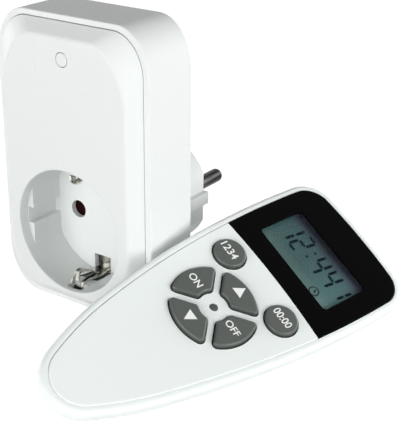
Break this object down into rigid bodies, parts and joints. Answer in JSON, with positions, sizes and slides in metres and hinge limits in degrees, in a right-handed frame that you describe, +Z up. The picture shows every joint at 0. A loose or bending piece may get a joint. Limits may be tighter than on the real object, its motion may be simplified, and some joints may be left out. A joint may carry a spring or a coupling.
{
  "type": "remote control timer switch",
  "caption": "Plug-in radio socket adapter with an earthed recess in front and a round-pin plug behind, and a tapered timer remote with a display and a ring of keys that leans on it.",
  "frame": {"origin": "middle of the receiver's flat foot, on the surface that it stands on", "axes": "+X to the receiver's right as seen from its front, +Y from its front to the wall along the plug pins, +Z up"},
  "size_m": [0.1164, 0.1202, 0.0936],
  "materials": {
    "housing_white": "smooth semi-gloss",
    "panel_white": "smooth semi-gloss",
    "light_pipe": "clear red, moulded",
    "clip_steel": "bright, nickel plated",
    "shutter_red": "dark reddish, moulded",
    "spring_steel": "drawn wire",
    "inner_plastic": "moulded",
    "contact_brass": "stamped",
    "pin_nickel": "nickel plated",
    "lead_brown": "insulation, matt",
    "lead_blue": "insulation, matt",
    "board_green": "solder mask",
    "relay_black": "moulded",
    "film_yellow": "dipped",
    "can_aluminium": "drawn can",
    "coil_copper": "enamelled copper wire",
    "switch_black": "moulded",
    "plunger_black": "moulded",
    "screw_steel": "zinc plated",
    "remote_white": "smooth semi-gloss",
    "window_black": "gloss",
    "clear_pane": "clear, polished",
    "lcd_grey": "grey-green reflective display",
    "frame_black": "moulded",
    "contact_rubber": "striped",
    "key_grey": "satin, white legends",
    "mat_grey": "moulded",
    "lens_grey": "smoked",
    "cell_steel": "bright",
    "clip_nickel": "plated"
  },
  "bodies": {
    "receiver": {"rear_housing": "housing_white", "front_panel": "panel_white", "learn_switch": "switch_black", "status_light": "light_pipe", "shutter_spring": "spring_steel", "shutter_cover": "inner_plastic", "line_contact": "contact_brass", "neutral_contact": "contact_brass", "earth_bridge": "clip_steel", "plug_earth_strips": "clip_steel", "line_pin": "pin_nickel", "neutral_pin": "pin_nickel", "line_wire": "lead_brown", "neutral_wire": "lead_blue", "main_board": "board_green", "relay": "relay_black", "film_capacitor": "film_yellow", "electrolytic_capacitor": "can_aluminium", "radio_module": "board_green", "antenna_coil": "coil_copper", "housing_screws": "screw_steel"},
    "learn_button": {"learn_button": "panel_white", "learn_switch_plunger": "plunger_black"},
    "shutter": {"shutter": "shutter_red"},
    "upper_earth_clip": {"upper_earth_clip": "clip_steel"},
    "lower_earth_clip": {"lower_earth_clip": "clip_steel"},
    "hand_remote": {"remote_rear_case": "remote_white", "remote_face_plate": "remote_white", "display_window": "window_black", "display_pane": "clear_pane", "lcd_glass": "lcd_grey", "lcd_frame": "frame_black", "contact_rubber": "contact_rubber", "indicator_lens": "lens_grey", "indicator_light": "lens_grey", "keypad_mat": "mat_grey", "remote_board": "board_green", "controller_chip": "relay_black", "transmitter_can": "can_aluminium", "coin_cell": "cell_steel", "cell_clip": "clip_nickel", "remote_screws": "screw_steel"},
    "battery_door": {"battery_door": "remote_white"},
    "unit_key": {"unit_key": "key_grey"},
    "timer_key": {"timer_key": "key_grey"},
    "on_key": {"on_key": "key_grey"},
    "off_key": {"off_key": "key_grey"},
    "up_key": {"up_key": "key_grey"},
    "down_key": {"down_key": "key_grey"}
  },
  "joints": [
    {"name": "learn_button_press", "type": "slide", "parent": "receiver", "child": "learn_button", "axis": [0, 1, 0], "range_m": [0, 0.0003], "stiffness_N_per_m": 1500},
    {"name": "shutter_turn", "type": "hinge", "parent": "receiver", "child": "shutter", "pos_m": [0, 0.00445, 0.0269], "axis": [0, 1, 0], "range_deg": [0, 38], "stiffness_Nm_per_rad": 0.002},
    {"name": "upper_earth_clip_flex", "type": "hinge", "parent": "receiver", "child": "upper_earth_clip", "pos_m": [0, 0.0068, 0.0418], "axis": [-1, 0, 0], "range_deg": [0, 3], "stiffness_Nm_per_rad": 0.3},
    {"name": "lower_earth_clip_flex", "type": "hinge", "parent": "receiver", "child": "lower_earth_clip", "pos_m": [0, 0.0068, 0.012], "axis": [1, 0, 0], "range_deg": [0, 3], "stiffness_Nm_per_rad": 0.3},
    {"name": "hand_remote_lift", "type": "slide", "parent": "receiver", "child": "hand_remote", "axis": [0.5063, -0.1884, 0.8415], "range_m": [0, 0.06]},
    {"name": "battery_door_lift", "type": "slide", "parent": "hand_remote", "child": "battery_door", "axis": [-0.5063, 0.1884, -0.8415], "range_m": [0, 0.02]},
    {"name": "unit_key_press", "type": "slide", "parent": "hand_remote", "child": "unit_key", "axis": [-0.5063, 0.1884, -0.8415], "range_m": [0, 0.0008], "stiffness_N_per_m": 1500},
    {"name": "timer_key_press", "type": "slide", "parent": "hand_remote", "child": "timer_key", "axis": [-0.5063, 0.1884, -0.8415], "range_m": [0, 0.0008], "stiffness_N_per_m": 1500},
    {"name": "on_key_press", "type": "slide", "parent": "hand_remote", "child": "on_key", "axis": [-0.5063, 0.1884, -0.8415], "range_m": [0, 0.0008], "stiffness_N_per_m": 1500},
    {"name": "off_key_press", "type": "slide", "parent": "hand_remote", "child": "off_key", "axis": [-0.5063, 0.1884, -0.8415], "range_m": [0, 0.0008], "stiffness_N_per_m": 1500},
    {"name": "up_key_press", "type": "slide", "parent": "hand_remote", "child": "up_key", "axis": [-0.5063, 0.1884, -0.8415], "range_m": [0, 0.0008], "stiffness_N_per_m": 1500},
    {"name": "down_key_press", "type": "slide", "parent": "hand_remote", "child": "down_key", "axis": [-0.5063, 0.1884, -0.8415], "range_m": [0, 0.0008], "stiffness_N_per_m": 1500}
  ]
}
